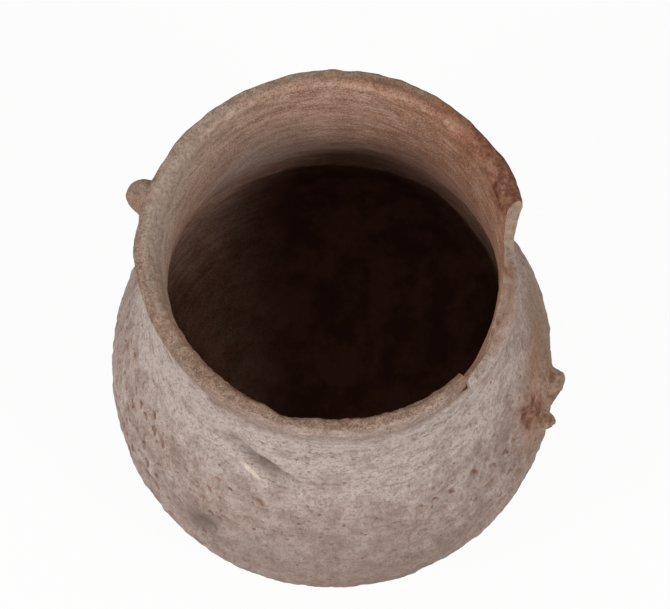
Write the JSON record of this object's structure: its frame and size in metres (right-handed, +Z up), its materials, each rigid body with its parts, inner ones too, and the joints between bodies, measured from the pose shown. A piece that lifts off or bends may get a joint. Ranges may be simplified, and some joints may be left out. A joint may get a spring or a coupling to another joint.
{
  "type": "corrugated pottery jar",
  "caption": "Round-bellied coil-built cooking jar with a pinched corrugated body, a smoothed neck, a chipped rim with a small lug, and the root of a lost handle.",
  "frame": {"origin": "middle of the flat base, on the jar's own axis, where it stands", "axes": "+Z up along the jar's axis to the mouth, +X towards the side that held the handle, +Y away from the front"},
  "size_m": [0.1831, 0.1814, 0.2],
  "materials": {
    "base_clay": "worn, unglazed",
    "coil_clay": "rough, unglazed",
    "neck_clay": "wiped matt, unglazed",
    "rim_clay": "worn and gritty, unglazed",
    "handle_clay": "broken, stained, unglazed"
  },
  "bodies": {
    "root": {"base_start_disc": "base_clay", "body_coil_01": "coil_clay", "body_coil_02": "coil_clay", "body_coil_03": "coil_clay", "body_coil_04": "coil_clay", "body_coil_05": "coil_clay", "body_coil_06": "coil_clay", "body_coil_07": "coil_clay", "body_coil_08": "coil_clay", "body_coil_09": "coil_clay", "body_coil_10": "coil_clay", "body_coil_11": "coil_clay", "body_coil_12": "coil_clay", "body_coil_13": "coil_clay", "body_coil_14": "coil_clay", "body_coil_15": "coil_clay", "body_coil_16": "coil_clay", "body_coil_17": "coil_clay", "body_coil_18": "coil_clay", "body_coil_19": "coil_clay", "body_coil_20": "coil_clay", "body_coil_21": "coil_clay", "body_coil_22": "coil_clay", "body_coil_23": "coil_clay", "handle_root_smear": "handle_clay", "handle_strand_stub_left": "handle_clay", "handle_strand_stub_right": "handle_clay", "levelling_coil": "neck_clay", "neck_coil_1": "neck_clay", "neck_coil_2": "neck_clay", "neck_coil_3": "neck_clay", "neck_coil_4": "neck_clay", "neck_coil_5": "neck_clay", "rim_coil": "rim_clay", "rim_lug": "rim_clay"}
  },
  "joints": []
}
